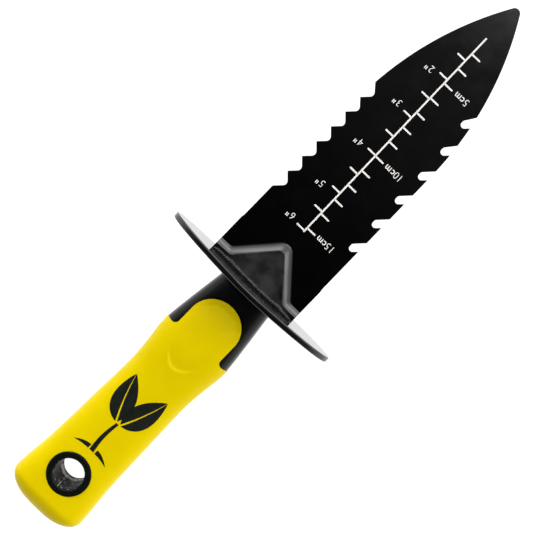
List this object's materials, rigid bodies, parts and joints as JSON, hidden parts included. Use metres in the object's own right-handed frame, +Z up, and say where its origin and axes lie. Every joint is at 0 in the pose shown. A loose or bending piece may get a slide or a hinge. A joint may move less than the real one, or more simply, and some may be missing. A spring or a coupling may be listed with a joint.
{
  "type": "hand trowel",
  "caption": "Long digging trowel with toothed edges, a printed depth scale, an oval hand guard and a two-colour handle with a hanging hole.",
  "frame": {"origin": "middle of the bounding box's bottom face: the tool lies on the guard's rear rim and the back of its handle", "axes": "+X along the tool to the blade's tip, +Y to the saw-toothed edge, +Z up out of the printed face; the tool's own axis is raised 5.61 degrees at the tip"},
  "size_m": [0.3508, 0.1072, 0.0612],
  "materials": {
    "blade_coating": "black coated steel, glossy",
    "guard_coating": "black coated steel, satin gloss",
    "weld_coating": "coated weld bead, rough",
    "core_plastic": "black moulded plastic, satin",
    "cover_rubber": "yellow soft moulded cover, satin",
    "eyelet_plastic": "black moulded plastic, fine grain"
  },
  "bodies": {
    "root": {"blade": "blade_coating", "hand_guard": "guard_coating", "weld_bead_top": "weld_coating", "weld_bead_underside": "weld_coating", "handle_core": "core_plastic", "grip_cover": "cover_rubber", "hang_hole_eyelet": "eyelet_plastic"}
  },
  "joints": []
}
